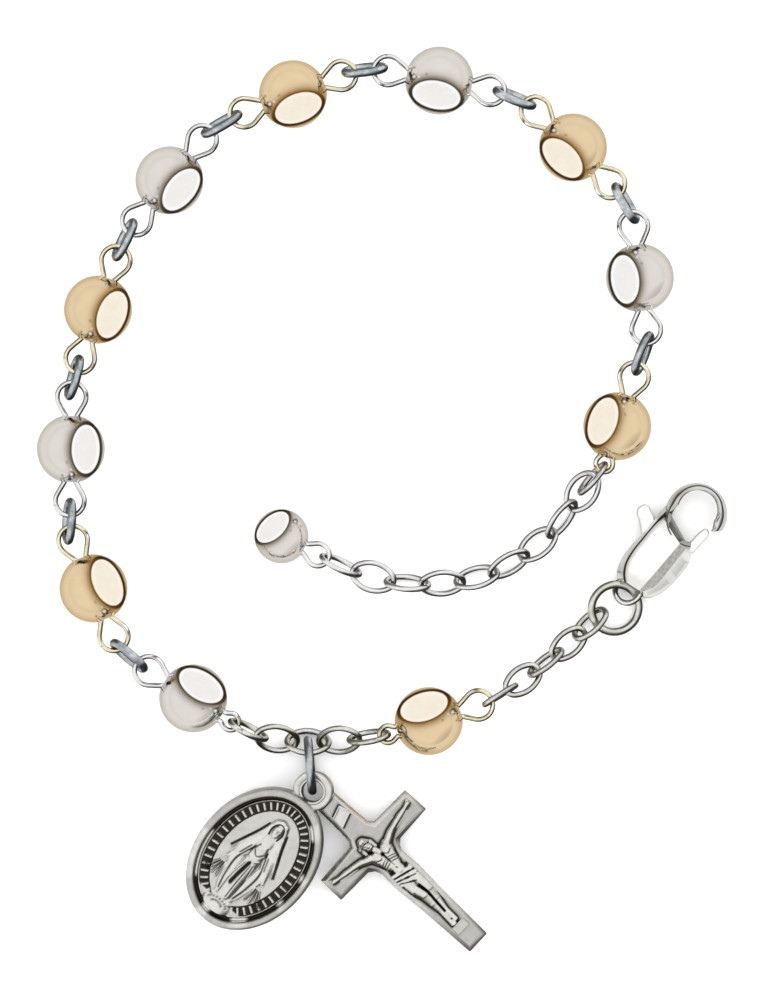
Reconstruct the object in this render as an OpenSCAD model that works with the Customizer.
// Rosary bracelet lying open on a table: ten decade beads, one prayer bead, an extension
// chain with an end bead, two short chains, a lever clasp, an oval medal and a crucifix.
// Millimetres. X points right and Y up in plan view, Z up from the table.

/* [Beads and pins] */
// Diameter of the decade beads and the prayer bead
bead_d = 6; // [5.9:0.05:6]
// Diameter of the bead on the end of the extension chain
end_bead_d = 4.8; // [4.6:0.1:4.9]
// Bore through a bead for its pin
bead_bore_d = 1.9; // [1.85:0.05:2]
// Wire of the pins and their loops
pin_wire = 0.45; // [0.4:0.01:0.46]
// Wire of the oval connectors between decade beads
connector_wire = 0.75; // [0.7:0.01:0.76]

/* [Chains] */
// Wire of the extension chain links
extension_wire = 0.5; // [0.45:0.01:0.5]
// Wire of the front and clasp chain links
cable_wire = 0.52; // [0.48:0.01:0.52]
// Wire of the jump ring that carries the medal and the crucifix
pendant_ring_wire = 0.78; // [0.7:0.01:0.8]
// Wire of the jump ring on the clasp
clasp_ring_wire = 0.7; // [0.6:0.01:0.7]

/* [Clasp] */
// Thickness of the clasp body
clasp_thick = 2.4; // [2.3:0.05:2.4]
// Thickness of the clasp's lever
lever_thick = 0.9; // [0.8:0.05:0.9]

/* [Pendants] */
// Height of the medal's rim above its back
medal_thick = 1.6; // [1.5:0.1:1.7]
// Thickness of the crucifix without the figure
cross_thick = 1.3; // [1.2:0.05:1.3]

/* [Hidden] */
$fn = 48;
EPS = 0.01;
DECADE_COUNT = 10;
CONNECTOR_COUNT = 9;

GOLD = "goldenrod";
SILVER = "silver";
STEEL = "slategray";
OLD_SILVER = "darkgray";

// Decade beads along the string: plan place, heading of the pin, gold or silver
BX = 0;
BY = 1;
B_HEADING = 2;
B_GOLD = 3;
DECADE = [
    [20.7, 6.4, 71, true],
    [22.7, 19.5, 97, false],
    [16.8, 31.0, 136, true],
    [5.0, 36.9, 169, false],
    [-7.9, 35.7, 201, true],
    [-18.8, 28.1, 231, false],
    [-25.1, 16.7, 250, true],
    [-27.5, 4.4, 269, false],
    [-25.5, -7.9, 293, true],
    [-16.7, -17.6, 328, false]
];

// Pins: how far a loop reaches from the bead's middle, and the loop's radius
LOOP_REACH = 6.1;
LOOP_R = 1.275;
CHAIN_LOOP_R = 0.75;
END_LOOP_R = 1.0;
FIRST_PIN_REACH = 4.45;
LAST_PIN_REACH = 4.85;
PRAYER_BACK_REACH = 4.75;
END_PIN_REACH = 4.85;
LEG_ANGLE = 30;
LEG_GAP = 0.9;
// Solder balls are this much thicker than their wire, and wires stop this far from their middles
SOLDER = 0.12;
BALL_REST = 0.1;

// Free room where a link bears on its neighbour
LINK_GAP = 0.1;
// The links next to a pin ride this far above its middle
CHAIN_LIFT = 0.2;
// Chain links: outer length and width, radius of the ends' centreline, pitch
EXTENSION_LINK = [4.25, 3.05];
EXTENSION_END_R = 0.95;
EXTENSION_PITCH = 3.1;
FRONT_LINK = [4.2, 3.2];
FRONT_END_R = 0.95;
FRONT_PITCH = 2.82;
CLASP_LINK = [4.0, 2.65];
CLASP_END_R = 0.8;
CLASP_PITCH = 2.6;
CONNECTOR_LINK = [4.2, 2.8];
CONNECTOR_END_R = 0.85;
CONNECTOR_ROLL = 16;

// Links in order: heading and slope of the link, its roll, and the slack to the next
L_HEADING = 0;
L_SLOPE = 1;
L_ROLL = 2;
L_SLACK = 3;
EXTENSION_ROWS = [
    [225, -38, 77, 1.6],
    [232, -15, 19, 0],
    [234, -2, -61, 0],
    [219, 1, 39, 0],
    [210, 0, -53, 0],
    [195, 0, 51, 0],
    [184, 0, -41, 0],
    [176, 0, 65, 0],
    [163, 4, -18, 0],
    [157, 16, 71, 0]
];
FRONT_ROWS = [
    [-23, -27, -75, 0],
    [-12, -12, 36, 0],
    [-1, -3, -45, 0],
    [8, 15, 36, 0],
    [5, 26, -72, 0]
];
CLASP_ROWS = [
    [30, -30, 85, 0],
    [36, -13, 2, 0],
    [38, -1, -68, 0],
    [41, -1, 20, 0],
    [43, -4, -50, 0]
];
MIDDLE_LINK = 2;
END_BEAD_HEADING = 153;
PRAYER_HEADING = 18;

// Jump rings: outer diameter
PENDANT_RING_D = 5.3;
PENDANT_RING_TURN = -85;
PENDANT_RING_FROM_LINK = [0.2, -2.02];
CLASP_RING_D = 5.0;
CLASP_RING_TILT = 16;
CLASP_RING_Z = 1.0;
CLASP_RING_SLACK = [22, 1.36];

// Clasp: u runs from the tail eye to the nose, v to the left, w up
CLASP_HEADING = 47.5;
RING_TO_EYE = [1.72, -0.06];
EYE_MIDDLE = [0.25, 0.3];
EYE_R = 1.2;
EYE_WIRE = 0.5;
EYE_TILT = 24;
EYE_DROP = 0.2;
CLASP_CLEAR = 0.05;
NOSE_MIDDLE = [9.28, 0.4];
NOSE_R = 2.72;
MOUTH_NEAR = [8.6, 0.25];
MOUTH_NEAR_R = 1.9;
MOUTH_FAR = [9.62, 0.55];
MOUTH_FAR_R = 1.75;
MOUTH_FLARE = 0.6;
PIVOT = [4.4, -0.5];
PIVOT_PIN_D = 0.8;
PIVOT_PIN_L = 1.7;
PIVOT_BOSS_R = 0.95;
RUNNING_GAP = 0.1;
SLOT_THICK = lever_thick + 2 * RUNNING_GAP;
// Length and width of the blank that the clasp's section and profile are cut from
CLASP_BLANK = [14, 8];
// Body outline from the tail's left corner round to the nose, then from the gate to the tail
CLASP_LEFT = [[0.95, 1.1], [0.45, 1.75], [1.45, 2.45], [2.3, 2.68], [4.7, 2.76], [6.3, 2.8]];
CLASP_RIGHT = [
    [9.15, -1.7], [9.1, -1.0], [8.6, 0.2], [6.9, -0.9], [6.45, -1.75], [5.9, -2.0],
    [4.5, -2.2], [3.1, -2.2], [1.9, -2.0], [0.95, -1.5]
];
// Cross-section of the body across v, with the facets of its face
CLASP_SECTION = [
    [-2.3, -0.5], [-1.3, -1.2], [2.2, -1.2], [3.3, -0.6], [3.3, 0.25],
    [2.5, 1.1], [-0.3, 1.2], [-1.1, 1.0], [-2.3, 0.15]
];
// Side profile of the body along u, thin at the nose
CLASP_PROFILE = [
    [-0.2, -0.6], [1.4, -1.2], [6.3, -1.2], [7.6, -0.75], [9, -0.6], [12.2, -0.6],
    [12.2, 0.6], [9, 0.6], [7.6, 0.8], [6.3, 1.2], [1.4, 1.2], [-0.2, 0.7]
];
SLOT_OUTLINE = [
    [3.6, 3.4], [3.6, 2.9], [3.2, 0.5], [3.15, -0.5], [3.5, -1.3], [4.4, -1.62],
    [5.6, -1.8], [5.6, -2.6], [7.4, -2.6], [7.4, 1.2], [6.75, 1.6], [6.75, 3.4]
];
LEVER_GATE = [
    [4.4, -1.4], [6.6, -1.75], [8.4, -1.75], [8.75, -1.55], [8.9, -1.2],
    [8.72, -0.98], [7.0, -0.85], [5.2, 0.0]
];
LEVER_TAB = [[3.6, -0.2], [4.7, 2.74], [5.3, 3.5], [6.6, 3.5], [6.35, 2.77], [5.3, -0.3]];
TAB_TIP = [6.2, 3.95];
TAB_TIP_R = 0.68;

// The pendants' eyes hang off the middle of their ring's wire
MEDAL_SLACK = [0.12, 0.02];
CROSS_SLACK = [0.2, -0.18];

// Medal: u points to its top, v left, w up from its back
MEDAL_MIDDLE_FROM_HOLE = 8.0;
MEDAL_HEADING = 229.5;
MEDAL_HALF = [7.05, 5.3];
MEDAL_BASE = 1.0;
MEDAL_GROOVE = 0.8;
RIM_WIDTH = 0.75;
GROOVE_WIDTH = 0.3;
BAND_WIDTH = 1.15;
MEDAL_EDGE_STEPS = 72;
FIGURE_SCALE = 1.06;
BORDER_BARS = 46;
BORDER_GAP_U = -5.3;
BAR_SIZE = [0.75, 0.2, 0.2];
MEDAL_EYE_R = [0.95, 1.75];
MEDAL_EYE_THICK = 0.8;
MEDAL_EYE_Z = 2.85;

// Crucifix: u runs from its eye down the shaft, v left, w up from its back
CROSS_HEADING = -43;
CROSS_EYE_Z = 1.4;
CROSS_EYE_R = [1.0, 1.7];
CROSS_EYE_THICK = 0.65;
CROSS_LENGTH = 19.8;
CROSS_BEVEL = 0.35;
// Right half of the outline: station along u, half width, and which way the bevel moves u
CROSS_ROWS = [
    [1.3, 1.05, 1],
    [5.3, 1.2, 0],
    [5.75, 1.6, 1],
    [5.85, 5.45, 1],
    [8.3, 5.5, -1],
    [8.4, 2.1, -1],
    [8.75, 1.6, 0],
    [9.4, 1.35, 0],
    [11.4, 1.45, 0],
    [14, 1.28, 0],
    [19.8, 1.1, -1]
];

// Names with two-digit numbers
function numbered(stem, i) = str(stem, "_", i < 10 ? "0" : "", i);

// Unit vector from a heading and a slope in degrees
function direction(heading, slope = 0) =
    [cos(heading) * cos(slope), sin(heading) * cos(slope), sin(slope)];

// Where a loop's inner tip leaves room for what hangs in it
function loop_seat(reach) = reach - pin_wire - LINK_GAP / 2;

// Seats of the links of a chain, one more than it has links
function seats(start, rows, pitch, i = 0) =
    i == len(rows)
        ? [start]
        : concat(
            [start],
            seats(
                start + (pitch - rows[i][L_SLACK]) * direction(rows[i][L_HEADING], rows[i][L_SLOPE]),
                rows, pitch, i + 1
            )
        );

// Points of an arc from one angle to another
function arc(middle, r, from, to, steps) =
    [for (i = [0:steps]) middle + r * [
        cos(from + (to - from) * i / steps),
        sin(from + (to - from) * i / steps)
    ]];

// Points of an ellipse
function ellipse(half, steps) =
    [for (i = [0:steps - 1]) [half.x * cos(360 * i / steps), half.y * sin(360 * i / steps)]];

// Place of a decade bead's middle
function decade_at(i) = [DECADE[i][BX], DECADE[i][BY], bead_d / 2];
function decade_heading(i) = DECADE[i][B_HEADING];
function decade_back_reach(i) = i == 0 ? FIRST_PIN_REACH : LOOP_REACH;
function decade_front_reach(i) = i == DECADE_COUNT - 1 ? LAST_PIN_REACH : LOOP_REACH;
// A loop that holds a chain is smaller than one that holds a connector
function loop_radius(reach) = reach < LOOP_REACH ? CHAIN_LOOP_R : LOOP_R;

// The chains follow one another from the decade's two ends, a little above the pins' middles
LIFT = [0, 0, CHAIN_LIFT];
EXTENSION_START =
    decade_at(0) - loop_seat(FIRST_PIN_REACH) * direction(decade_heading(0)) + LIFT;
EXTENSION_SEATS = seats(EXTENSION_START, EXTENSION_ROWS, EXTENSION_PITCH);
END_BEAD_AT = EXTENSION_SEATS[len(EXTENSION_ROWS)]
    + loop_seat(END_PIN_REACH) * direction(END_BEAD_HEADING);
FRONT_START =
    decade_at(DECADE_COUNT - 1)
    + loop_seat(LAST_PIN_REACH) * direction(decade_heading(DECADE_COUNT - 1)) + LIFT;
FRONT_SEATS = seats(FRONT_START, FRONT_ROWS, FRONT_PITCH);
FRONT_END = FRONT_SEATS[len(FRONT_ROWS)];
PRAYER_AT = [FRONT_END.x, FRONT_END.y, bead_d / 2]
    + loop_seat(PRAYER_BACK_REACH) * direction(PRAYER_HEADING);
CLASP_START = PRAYER_AT + loop_seat(LOOP_REACH) * direction(PRAYER_HEADING) + LIFT;
CLASP_SEATS = seats(CLASP_START, CLASP_ROWS, CLASP_PITCH);
CLASP_CHAIN_END = CLASP_SEATS[len(CLASP_ROWS)];
CLASP_RING_AT = [
    CLASP_CHAIN_END.x + CLASP_RING_SLACK[1] * cos(CLASP_RING_SLACK[0]),
    CLASP_CHAIN_END.y + CLASP_RING_SLACK[1] * sin(CLASP_RING_SLACK[0]),
    CLASP_RING_Z
];
CLASP_AT = [
    CLASP_RING_AT.x + RING_TO_EYE.x * cos(CLASP_HEADING) - RING_TO_EYE.y * sin(CLASP_HEADING),
    CLASP_RING_AT.y + RING_TO_EYE.x * sin(CLASP_HEADING) + RING_TO_EYE.y * cos(CLASP_HEADING),
    clasp_thick / 2 + CLASP_CLEAR
];
MIDDLE_LINK_AT = FRONT_SEATS[MIDDLE_LINK]
    + FRONT_PITCH / 2 * direction(FRONT_ROWS[MIDDLE_LINK][L_HEADING]);
PENDANT_RING_AT = [
    MIDDLE_LINK_AT.x + PENDANT_RING_FROM_LINK.x,
    MIDDLE_LINK_AT.y + PENDANT_RING_FROM_LINK.y,
    PENDANT_RING_D / 2
];
// Where the pendants' eyes hang on the ring, at the middle of each eye's thickness
function pendant_seat(z, slack) =
    let (rise = z - PENDANT_RING_AT.z, r = (PENDANT_RING_D - pendant_ring_wire) / 2)
        [PENDANT_RING_AT.x, PENDANT_RING_AT.y]
        + sqrt(r * r - rise * rise) * [cos(PENDANT_RING_TURN), sin(PENDANT_RING_TURN)]
        + slack;
MEDAL_EYE_AT = pendant_seat(MEDAL_EYE_Z + MEDAL_EYE_THICK / 2, MEDAL_SLACK);
CROSS_EYE_AT = pendant_seat(CROSS_EYE_Z + CROSS_EYE_THICK / 2, CROSS_SLACK);
MEDAL_TILT = asin(MEDAL_EYE_Z / (MEDAL_MIDDLE_FROM_HOLE + MEDAL_HALF.x));
CROSS_TILT = asin(CROSS_EYE_Z / CROSS_LENGTH);

module place(at, heading, slope = 0, roll = 0) {
    translate(at) rotate([roll, -slope, heading]) children();
}

// A piece of round wire bent to an arc in the XY plane, between two solder balls
module arc_wire(middle, r, from, to, wire) {
    trim = asin(BALL_REST / r);
    translate(middle)
        rotate([0, 0, from + trim])
            rotate_extrude(angle = to - from - 2 * trim)
                translate([r, 0]) circle(d = wire);
}

// A straight piece of round wire in the XY plane, between two solder balls
module straight_wire(from, to, wire) {
    run = to - from;
    translate(from)
        rotate([0, 90, atan2(run.y, run.x)])
            translate([0, 0, BALL_REST])
                cylinder(d = wire, h = norm(run) - 2 * BALL_REST);
}

module ring(outer_d, wire) {
    rotate_extrude() translate([(outer_d - wire) / 2, 0]) circle(d = wire);
}

// Ball of solder that joins two pieces of wire, its poles on the line across them
module joint_ball(at, wire, across) {
    translate(at) rotate([0, -90, across]) sphere(d = wire + SOLDER);
}

// Oval link drawn with four arcs, lying in the XY plane
module oval_link(outer, end_r, wire) {
    half_l = (outer.x - wire) / 2;
    half_w = (outer.y - wire) / 2;
    side_r = (half_l * half_l + half_w * half_w - 2 * half_l * end_r) / (2 * (half_w - end_r));
    turn = atan2(side_r - half_w, half_l - end_r);
    for (side = [0, 180]) rotate([0, 0, side]) {
        arc_wire([half_l - end_r, 0], end_r, -turn, turn, wire);
        arc_wire([0, half_w - side_r], side_r, turn, 180 - turn, wire);
        for (end = [-turn, turn])
            joint_ball([half_l - end_r + end_r * cos(end), end_r * sin(end)], wire, end);
    }
}

module chain(chain_seats, rows, pitch, outer, end_r, wire) {
    for (i = [0:len(rows) - 1]) {
        run = direction(rows[i][L_HEADING], rows[i][L_SLOPE]);
        place(
            chain_seats[i] + pitch / 2 * run,
            rows[i][L_HEADING], rows[i][L_SLOPE], rows[i][L_ROLL]
        )
            oval_link(outer, end_r, wire);
    }
}

// Where a loop's legs leave its arc, and where they turn along the bore
function loop_middle(reach, r) = reach - pin_wire / 2 - r;
function leg_top(reach, r) = [loop_middle(reach, r), 0] + r * [-sin(LEG_ANGLE), cos(LEG_ANGLE)];
function leg_foot(reach, r) =
    [leg_top(reach, r).x - (leg_top(reach, r).y - LEG_GAP / 2) / tan(LEG_ANGLE), LEG_GAP / 2];

// Loop of a pin on the +X side, with its two legs
module pin_loop(reach, r) {
    arc_wire([loop_middle(reach, r), 0], r, -90 - LEG_ANGLE, 90 + LEG_ANGLE, pin_wire);
    for (side = [0, 1]) mirror([0, side, 0]) {
        joint_ball(leg_top(reach, r), pin_wire, 90 + LEG_ANGLE);
        straight_wire(leg_foot(reach, r), leg_top(reach, r), pin_wire);
        joint_ball(leg_foot(reach, r), pin_wire, 90 + LEG_ANGLE / 2);
    }
}

// One closed wire through a bead, with a loop at each end
module through_pin(back_reach, front_reach) {
    back_r = loop_radius(back_reach);
    front_r = loop_radius(front_reach);
    pin_loop(front_reach, front_r);
    rotate([0, 0, 180]) pin_loop(back_reach, back_r);
    for (side = [-1, 1])
        straight_wire(
            [-leg_foot(back_reach, back_r).x, side * LEG_GAP / 2],
            [leg_foot(front_reach, front_r).x, side * LEG_GAP / 2],
            pin_wire
        );
}

// The ball's poles lie on the bore
module drilled_bead(d) {
    rotate([0, 90, 0]) difference() {
        sphere(d = d);
        cylinder(d = bead_bore_d, h = 2 * d, center = true);
    }
}

module decade_bead(i) {
    color(DECADE[i][B_GOLD] ? GOLD : SILVER)
        place(decade_at(i), decade_heading(i)) drilled_bead(bead_d);
}

module decade_pin(i) {
    color(DECADE[i][B_GOLD] ? GOLD : SILVER)
        place(decade_at(i), decade_heading(i))
            through_pin(decade_back_reach(i), decade_front_reach(i));
}

// Connector i joins the front loop of bead i to the back loop of the next bead
module connector(i) {
    from = decade_at(i) + loop_seat(decade_front_reach(i)) * direction(decade_heading(i));
    to = decade_at(i + 1)
        - loop_seat(decade_back_reach(i + 1)) * direction(decade_heading(i + 1));
    run = to - from;
    color(STEEL)
        place(
            (from + to) / 2,
            atan2(run.y, run.x), 0, 90 - CONNECTOR_ROLL
        )
            oval_link(CONNECTOR_LINK, CONNECTOR_END_R, connector_wire);
}

module prayer_bead() {
    color(GOLD) place(PRAYER_AT, PRAYER_HEADING) drilled_bead(bead_d);
}

module prayer_pin() {
    color(GOLD) place(PRAYER_AT, PRAYER_HEADING) through_pin(PRAYER_BACK_REACH, LOOP_REACH);
}

// The end bead has a blind bore, so that its far side stays whole
module end_bead() {
    bore_depth = 0.75 * end_bead_d;
    color(SILVER)
        place([END_BEAD_AT.x, END_BEAD_AT.y, end_bead_d / 2], END_BEAD_HEADING + 180)
            rotate([0, 90, 0]) difference() {
                sphere(d = end_bead_d);
                translate([0, 0, end_bead_d / 2 - bore_depth])
                    cylinder(d = bead_bore_d, h = end_bead_d);
            }
}

module end_pin() {
    color(SILVER)
        place([END_BEAD_AT.x, END_BEAD_AT.y, end_bead_d / 2], END_BEAD_HEADING + 180) {
            pin_loop(END_PIN_REACH, END_LOOP_R);
            for (side = [-1, 1])
                straight_wire(
                    [-end_bead_d / 8, side * LEG_GAP / 2],
                    [leg_foot(END_PIN_REACH, END_LOOP_R).x, side * LEG_GAP / 2],
                    pin_wire
                );
        }
}

module extension_chain() {
    color(SILVER)
        chain(
            EXTENSION_SEATS, EXTENSION_ROWS, EXTENSION_PITCH,
            EXTENSION_LINK, EXTENSION_END_R, extension_wire
        );
}

module front_chain() {
    color(SILVER)
        chain(FRONT_SEATS, FRONT_ROWS, FRONT_PITCH, FRONT_LINK, FRONT_END_R, cable_wire);
}

module clasp_chain() {
    color(SILVER)
        chain(CLASP_SEATS, CLASP_ROWS, CLASP_PITCH, CLASP_LINK, CLASP_END_R, cable_wire);
}

// The pendants' ring stands on edge through the front chain's middle link
module pendant_ring() {
    color(STEEL)
        translate(PENDANT_RING_AT)
            rotate([90, 0, PENDANT_RING_TURN])
                ring(PENDANT_RING_D, pendant_ring_wire);
}

module clasp_ring() {
    color(SILVER)
        place(CLASP_RING_AT, CLASP_HEADING, 0, CLASP_RING_TILT)
            ring(CLASP_RING_D, clasp_ring_wire);
}

module prism(points, low, high) {
    translate([0, 0, low]) linear_extrude(height = high - low) polygon(points);
}

// Round opening of the clasp's mouth, flared towards both faces
module mouth(middle, r) {
    translate([middle.x, middle.y, -clasp_thick]) cylinder(r = r, h = 2 * clasp_thick);
    for (side = [0, 1]) mirror([0, 0, side])
        translate([middle.x, middle.y, clasp_thick / 8])
            cylinder(r1 = r, r2 = r + MOUTH_FLARE, h = clasp_thick / 2);
}

module clasp_body() {
    nose = arc(NOSE_MIDDLE, NOSE_R, 100, -80, 24);
    color(SILVER) place(CLASP_AT, CLASP_HEADING) {
        difference() {
            intersection() {
                prism(concat(CLASP_LEFT, nose, CLASP_RIGHT), -clasp_thick, clasp_thick);
                translate([-1, 0, 0])
                    rotate([90, 0, 90])
                        linear_extrude(height = CLASP_BLANK.x) polygon(CLASP_SECTION);
                translate([0, CLASP_BLANK.y / 2, 0])
                    rotate([90, 0, 0])
                        linear_extrude(height = CLASP_BLANK.y) polygon(CLASP_PROFILE);
            }
            mouth(MOUTH_NEAR, MOUTH_NEAR_R);
            translate([MOUTH_FAR.x, MOUTH_FAR.y, -clasp_thick])
                cylinder(r = MOUTH_FAR_R, h = 2 * clasp_thick);
            prism(SLOT_OUTLINE, -SLOT_THICK / 2, SLOT_THICK / 2);
            translate([PIVOT.x, PIVOT.y, 0])
                cylinder(d = PIVOT_PIN_D + RUNNING_GAP, h = PIVOT_PIN_L + RUNNING_GAP, center = true);
        }
        translate([EYE_MIDDLE.x, EYE_MIDDLE.y, -EYE_DROP])
            rotate([-EYE_TILT, 0, 0])
                ring(2 * EYE_R + EYE_WIRE, EYE_WIRE);
    }
}

// Rivet on which the lever turns, hidden inside the body
module clasp_pin() {
    color(STEEL) place(CLASP_AT, CLASP_HEADING)
        translate([PIVOT.x, PIVOT.y, 0]) cylinder(d = PIVOT_PIN_D, h = PIVOT_PIN_L, center = true);
}

module clasp_lever() {
    half = lever_thick / 2;
    color(SILVER) place(CLASP_AT, CLASP_HEADING) difference() {
        union() {
            translate([PIVOT.x, PIVOT.y, -half]) cylinder(r = PIVOT_BOSS_R, h = lever_thick);
            prism(LEVER_GATE, -half, half);
            prism(LEVER_TAB, -half, half);
            translate([TAB_TIP.x, TAB_TIP.y, -half]) cylinder(r = TAB_TIP_R, h = lever_thick);
        }
        translate([PIVOT.x, PIVOT.y, -clasp_thick])
            cylinder(d = PIVOT_PIN_D + 2 * RUNNING_GAP, h = 2 * clasp_thick);
    }
}

// A tapered limb or fold with round ends, given as [u, v, w, radius]
module limb(from, to) {
    hull() {
        translate([from[0], from[1], from[2]]) sphere(r = from[3], $fn = 12);
        translate([to[0], to[1], to[2]]) sphere(r = to[3], $fn = 12);
    }
}

module chain_of_limbs(stations) {
    for (i = [0:len(stations) - 2]) limb(stations[i], stations[i + 1]);
}

module eye_plate(radii, thick) {
    difference() {
        cylinder(r = radii[1], h = thick, $fn = 32);
        translate([0, 0, -EPS]) cylinder(r = radii[0], h = thick + 2 * EPS, $fn = 32);
    }
}

// Ellipse prism inset from the medal's edge
module medal_layer(inset, low, high) {
    prism(
        ellipse([MEDAL_HALF.x - inset, MEDAL_HALF.y - inset], MEDAL_EDGE_STEPS),
        low, high
    );
}

// Standing robed figure with open arms on a globe, as plain folds and limbs
module medal_figure() {
    floor_w = MEDAL_BASE - 0.15;
    for (side = [-1, 1]) {
        chain_of_limbs([
            [2.1, side * 0.55, floor_w, 0.6],
            [0.7, side * 1.35, floor_w, 0.5],
            [-1.1, side * 1.9, floor_w, 0.32]
        ]);
        chain_of_limbs([
            [1.6, side * 0.8, floor_w - 0.1, 0.6],
            [-0.8, side * 1.75, floor_w - 0.15, 0.45],
            [-4.2, side * 0.75, floor_w - 0.1, 0.4]
        ]);
        chain_of_limbs([
            [1.8, side * 0.3, floor_w, 0.6],
            [-1.5, side * 0.5, floor_w, 0.55],
            [-4.4, side * 0.45, floor_w, 0.5]
        ]);
        for (ray = [0:3])
            limb(
                [-1.5, side * (1.75 + 0.1 * ray), floor_w, 0.12],
                [-3.3, side * (1.5 + 0.3 * ray), floor_w, 0.16]
            );
    }
    limb([3.1, 0, floor_w, 0.85], [1.7, 0, floor_w - 0.1, 1.0]);
    translate([3.05, 0, floor_w + 0.35]) sphere(r = 0.58, $fn = 16);
    intersection() {
        translate([-5.3, 0, floor_w - 1.15]) sphere(r = 1.65, $fn = 32);
        medal_layer(RIM_WIDTH + 2 * GROOVE_WIDTH, floor_w - 0.2, floor_w + 1);
    }
}

module medal_border() {
    middle = [
        MEDAL_HALF.x - RIM_WIDTH - GROOVE_WIDTH - BAND_WIDTH / 2,
        MEDAL_HALF.y - RIM_WIDTH - GROOVE_WIDTH - BAND_WIDTH / 2
    ];
    for (i = [0:BORDER_BARS - 1]) {
        turn = 360 * i / BORDER_BARS;
        along = [middle.x * cos(turn), middle.y * sin(turn)];
        if (along.x > BORDER_GAP_U)
            translate([along.x, along.y, MEDAL_BASE])
                rotate([0, 0, atan2(along.y * middle.x, along.x * middle.y)])
                    cube(BAR_SIZE, center = true);
    }
}

module medal() {
    color(OLD_SILVER)
        translate([MEDAL_EYE_AT.x, MEDAL_EYE_AT.y, MEDAL_EYE_Z])
            rotate([0, MEDAL_TILT, MEDAL_HEADING])
                rotate([0, 0, 180])
                    translate([-MEDAL_MIDDLE_FROM_HOLE, 0, 0]) {
                        difference() {
                            medal_layer(0, 0, medal_thick);
                            medal_layer(RIM_WIDTH, MEDAL_GROOVE, 2 * medal_thick);
                            translate([MEDAL_MIDDLE_FROM_HOLE, 0, -EPS])
                                cylinder(r = MEDAL_EYE_R[1] - EPS, h = 2 * medal_thick, $fn = 32);
                        }
                        medal_layer(RIM_WIDTH + GROOVE_WIDTH, EPS, MEDAL_BASE);
                        translate([MEDAL_MIDDLE_FROM_HOLE, 0, 0])
                            eye_plate(MEDAL_EYE_R, MEDAL_EYE_THICK);
                        medal_border();
                        scale(FIGURE_SCALE) medal_figure();
                    }
}

// Outline of the cross, inset by the bevel
function cross_half(inset) =
    [for (row = CROSS_ROWS) [row[0] + row[2] * inset, row[1] - inset]];
function cross_outline(inset) =
    concat(
        [for (p = cross_half(inset)) [p.x, -p.y]],
        [for (i = [len(CROSS_ROWS) - 1:-1:0]) cross_half(inset)[i]]
    );

// The cross with a bevelled face, lofted through its outlines at three heights
module bevelled_cross() {
    levels = [[0, 0], [0, cross_thick - CROSS_BEVEL], [CROSS_BEVEL, cross_thick]];
    n = 2 * len(CROSS_ROWS);
    top = n * (len(levels) - 1);
    polyhedron(
        points = [
            for (level = levels)
                for (p = cross_outline(level[0])) [p.x, p.y, level[1]]
        ],
        faces = concat(
            [[for (i = [0:n - 1]) i]],
            [[for (i = [n - 1:-1:0]) top + i]],
            [
                for (low = [0:n:top - 1])
                    for (i = [0:n - 1])
                        [low + i, low + n + i, low + n + (i + 1) % n, low + (i + 1) % n]
            ]
        )
    );
}

// Figure with spread arms, crossed feet and a loincloth
module corpus() {
    face_w = cross_thick;
    for (side = [-1, 1]) {
        chain_of_limbs([
            [7.85, side * 0.75, face_w + 0.25, 0.4],
            [7.15, side * 2.8, face_w + 0.15, 0.3],
            [6.75, side * 4.7, face_w, 0.22]
        ]);
        limb([6.75, side * 4.7, face_w, 0.22], [6.55, side * 5.05, face_w - 0.05, 0.25]);
        chain_of_limbs([
            [10.9, side * 0.5, face_w + 0.25, 0.5],
            [13.1, side * 0.42 + 0.2, face_w + 0.4, 0.4],
            [15.7, side * 0.18, face_w + 0.15, 0.28],
            [16.9, side * 0.2, face_w + 0.3, 0.26]
        ]);
        limb([8.0, side * 0.45, face_w + 0.2, 0.6], [9.7, side * 0.2, face_w + 0.15, 0.45]);
    }
    limb([9.7, 0, face_w + 0.1, 0.55], [10.9, 0, face_w + 0.1, 0.75]);
    limb([10.3, 0.8, face_w + 0.1, 0.45], [11.9, -0.5, face_w + 0.15, 0.5]);
    limb([10.4, -0.8, face_w + 0.1, 0.4], [11.7, 0.6, face_w + 0.1, 0.45]);
    limb([6.75, -0.35, face_w + 0.4, 0.6], [7.8, 0.0, face_w + 0.25, 0.5]);
    limb([6.3, -0.4, face_w + 0.1, 0.62], [7.3, -0.45, face_w, 0.5]);
    translate([17.1, -0.7, face_w - 0.2]) cube([0.9, 1.4, 0.6]);
    translate([3.2, -0.25, face_w]) rotate([0, 0, 18]) cube([1.3, 1.8, 0.4], center = true);
}

module crucifix() {
    color(OLD_SILVER)
        translate([CROSS_EYE_AT.x, CROSS_EYE_AT.y, CROSS_EYE_Z])
            rotate([0, CROSS_TILT, CROSS_HEADING]) {
                bevelled_cross();
                eye_plate(CROSS_EYE_R, CROSS_EYE_THICK);
                corpus();
            }
}

for (i = [1:DECADE_COUNT]) {
    decade_bead(i - 1);
    decade_pin(i - 1);
}
for (i = [1:CONNECTOR_COUNT]) {
    connector(i - 1);
}
prayer_bead();
prayer_pin();
end_bead();
end_pin();
extension_chain();
front_chain();
clasp_chain();
pendant_ring();
clasp_ring();
clasp_body();
clasp_pin();
clasp_lever();
medal();
crucifix();
